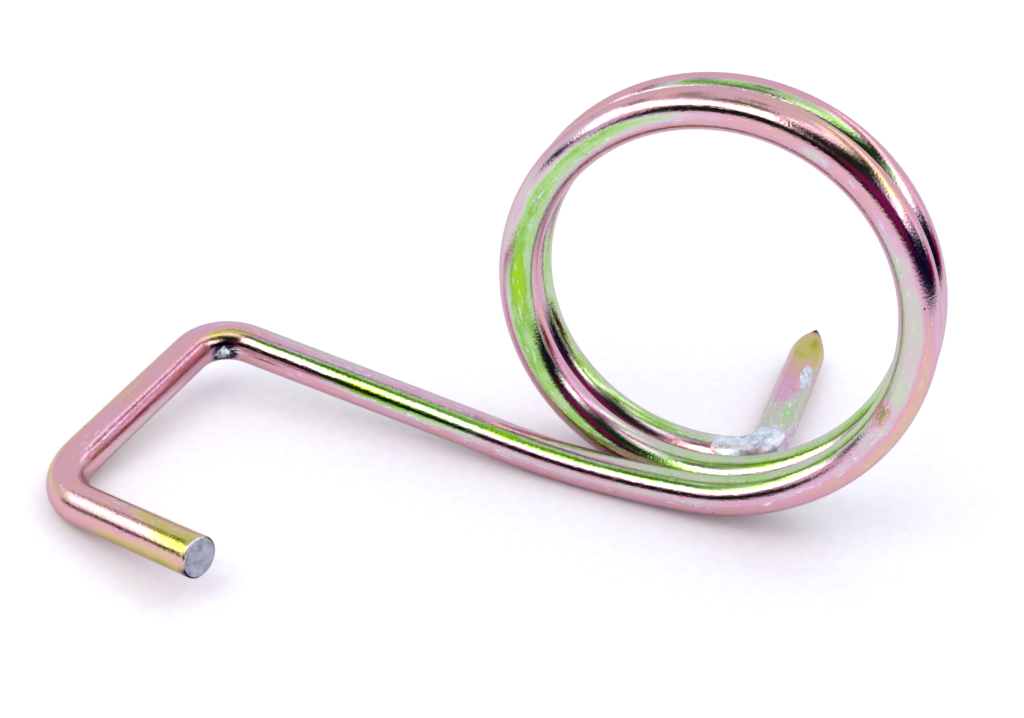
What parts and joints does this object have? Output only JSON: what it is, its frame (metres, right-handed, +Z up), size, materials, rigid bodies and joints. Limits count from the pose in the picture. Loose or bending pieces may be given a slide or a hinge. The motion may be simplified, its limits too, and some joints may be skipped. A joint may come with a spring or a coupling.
{
  "type": "wire torsion spring",
  "caption": "Round-wire torsion spring: close coil with a straight leg along its axis and a long arm that ends in a bent hook foot",
  "frame": {"origin": "centre of the bounding box's footprint, on the surface the spring stands on", "axes": "+Z up from the surface; +Y along the level direction of the coil's axis, from the arm's side towards the leg's tip; +X to the right seen from the arm's side"},
  "size_m": [0.0768, 0.0724, 0.0439],
  "materials": {
    "plated_wire": "yellow iridescent passivated zinc plating on drawn steel wire"
  },
  "bodies": {
    "root": {"spring_wire": "plated_wire"}
  },
  "joints": []
}
